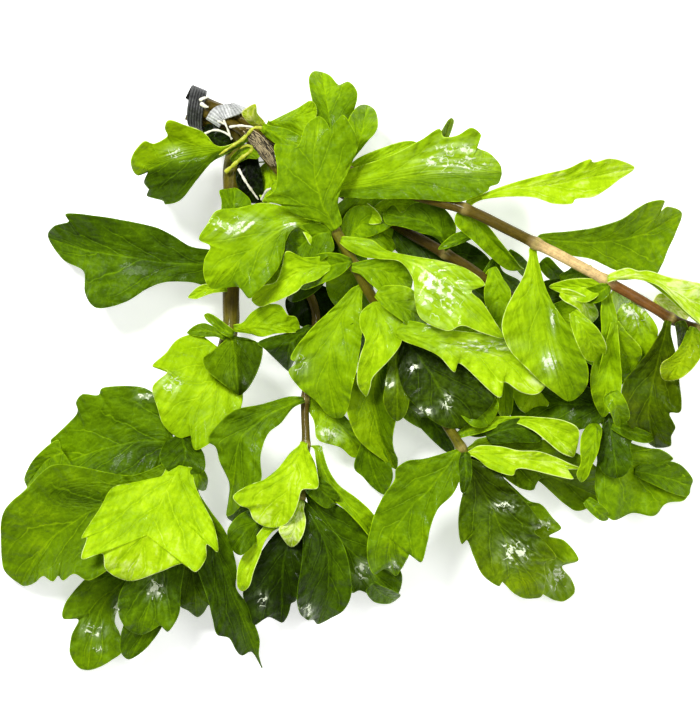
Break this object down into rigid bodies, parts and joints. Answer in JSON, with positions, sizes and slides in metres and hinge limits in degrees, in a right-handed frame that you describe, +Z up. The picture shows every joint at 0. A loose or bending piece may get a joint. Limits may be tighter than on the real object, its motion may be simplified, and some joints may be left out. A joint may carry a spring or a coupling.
{
  "type": "bunch of aquarium plant stems",
  "caption": "Tied bunch of leafy aquarium plant stems lying flat, with lobed oak-like leaves and a wound lead strip round the cut ends.",
  "frame": {"origin": "middle of the bunch's outline seen from above, at the height of the surface that it lies on", "axes": "+X along the bunch's longest extent, from the tied end's side to the far leaves; +Y away from the lower leaves; +Z up, its shortest extent"},
  "size_m": [0.212, 0.1812, 0.0413],
  "materials": {
    "leaf": "wet green leaf skin with a soft gloss",
    "stem": "wet olive brown stem skin",
    "lead": "dull grey lead",
    "root": "matt brown root fibre"
  },
  "bodies": {
    "root": {"lead_strip": "lead", "stem_left": "stem", "stem_inner": "stem", "stem_middle": "stem", "stem_under": "stem", "stem_right": "stem", "root_tuft": "root", "leaf_left_1": "leaf", "leaf_left_2": "leaf", "leaf_left_3": "leaf", "leaf_left_4": "leaf", "leaf_left_5": "leaf", "leaf_left_6": "leaf", "leaf_left_7": "leaf", "leaf_inner_1": "leaf", "leaf_inner_2": "leaf", "leaf_inner_3": "leaf", "leaf_inner_8": "leaf", "leaf_middle_4": "leaf", "leaf_middle_1": "leaf", "leaf_middle_2": "leaf", "leaf_middle_3": "leaf", "leaf_under_1": "leaf", "leaf_under_2": "leaf", "leaf_right_2": "leaf", "leaf_right_1": "leaf", "leaf_middle_9": "leaf", "leaf_middle_8": "leaf", "leaf_under_5": "leaf", "leaf_inner_5": "leaf", "leaf_middle_5": "leaf", "leaf_inner_6": "leaf", "leaf_left_8": "leaf", "leaf_left_9": "leaf", "leaf_left_10": "leaf", "leaf_left_11": "leaf", "leaf_inner_7": "leaf", "leaf_inner_4": "leaf", "leaf_left_12": "leaf", "leaf_under_4": "leaf", "leaf_middle_6": "leaf", "leaf_middle_7": "leaf", "leaf_under_6": "leaf", "leaf_middle_10": "leaf", "leaf_middle_11": "leaf", "leaf_middle_12": "leaf", "leaf_middle_16": "leaf", "leaf_right_3": "leaf", "leaf_right_12": "leaf", "leaf_right_4": "leaf", "leaf_right_5": "leaf", "leaf_right_7": "leaf", "leaf_right_8": "leaf", "leaf_right_6": "leaf", "leaf_right_9": "leaf", "leaf_right_10": "leaf", "leaf_right_11": "leaf", "leaf_middle_13": "leaf", "leaf_middle_14": "leaf", "leaf_middle_15": "leaf"}
  },
  "joints": []
}
